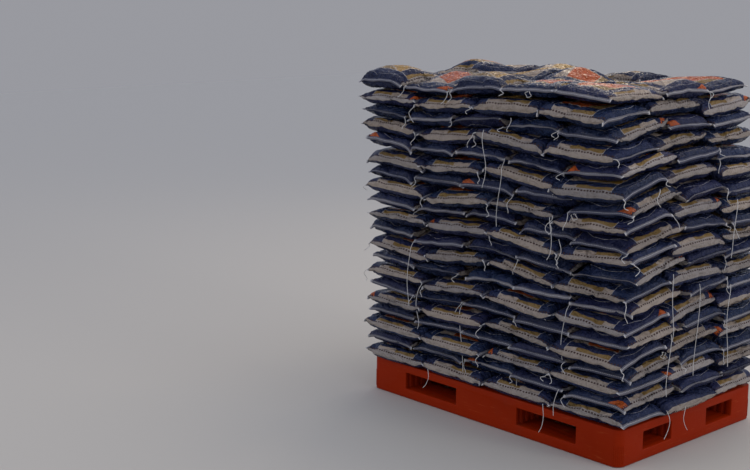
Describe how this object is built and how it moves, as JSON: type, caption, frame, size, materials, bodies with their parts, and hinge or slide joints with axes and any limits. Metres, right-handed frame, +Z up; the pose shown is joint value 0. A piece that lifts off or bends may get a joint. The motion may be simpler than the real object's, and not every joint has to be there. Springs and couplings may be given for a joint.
{
  "type": "pallet of sacks",
  "caption": "Moulded plastic pallet with fork openings on all sides, loaded shoulder-high with flat sewn sacks in interlocking layers that lean in towards the top.",
  "frame": {"origin": "on the floor under the middle of the pallet, on the underside of its middle leg", "axes": "+Z up; +X along the pallet's long side, away from the end that the top of the stack leans to; -Y is the face whose lowest layer shows the sacks' long sides"},
  "size_m": [1.3053, 0.8572, 1.2659],
  "materials": {
    "pallet_plastic": "moulded orange-red polyethylene, satin, scuffed at the edges",
    "sack_film": "woven polypropylene sack cloth under a glossy printed film, creased",
    "sewing_thread": "off-white spun sewing thread, matte"
  },
  "bodies": {
    "root": {"pallet": "pallet_plastic", "sack_layer_01": "sack_film", "sack_layer_02": "sack_film", "sack_layer_03": "sack_film", "sack_layer_04": "sack_film", "sack_layer_05": "sack_film", "sack_layer_06": "sack_film", "sack_layer_07": "sack_film", "sack_layer_08": "sack_film", "sack_layer_09": "sack_film", "sack_layer_10": "sack_film", "sack_layer_11": "sack_film", "sack_layer_12": "sack_film", "sack_layer_13": "sack_film", "sack_layer_14": "sack_film", "sack_layer_15": "sack_film", "sack_layer_16": "sack_film", "sack_layer_17": "sack_film", "sack_layer_18": "sack_film", "sack_layer_19": "sack_film", "sack_layer_20": "sack_film"}
  },
  "joints": []
}
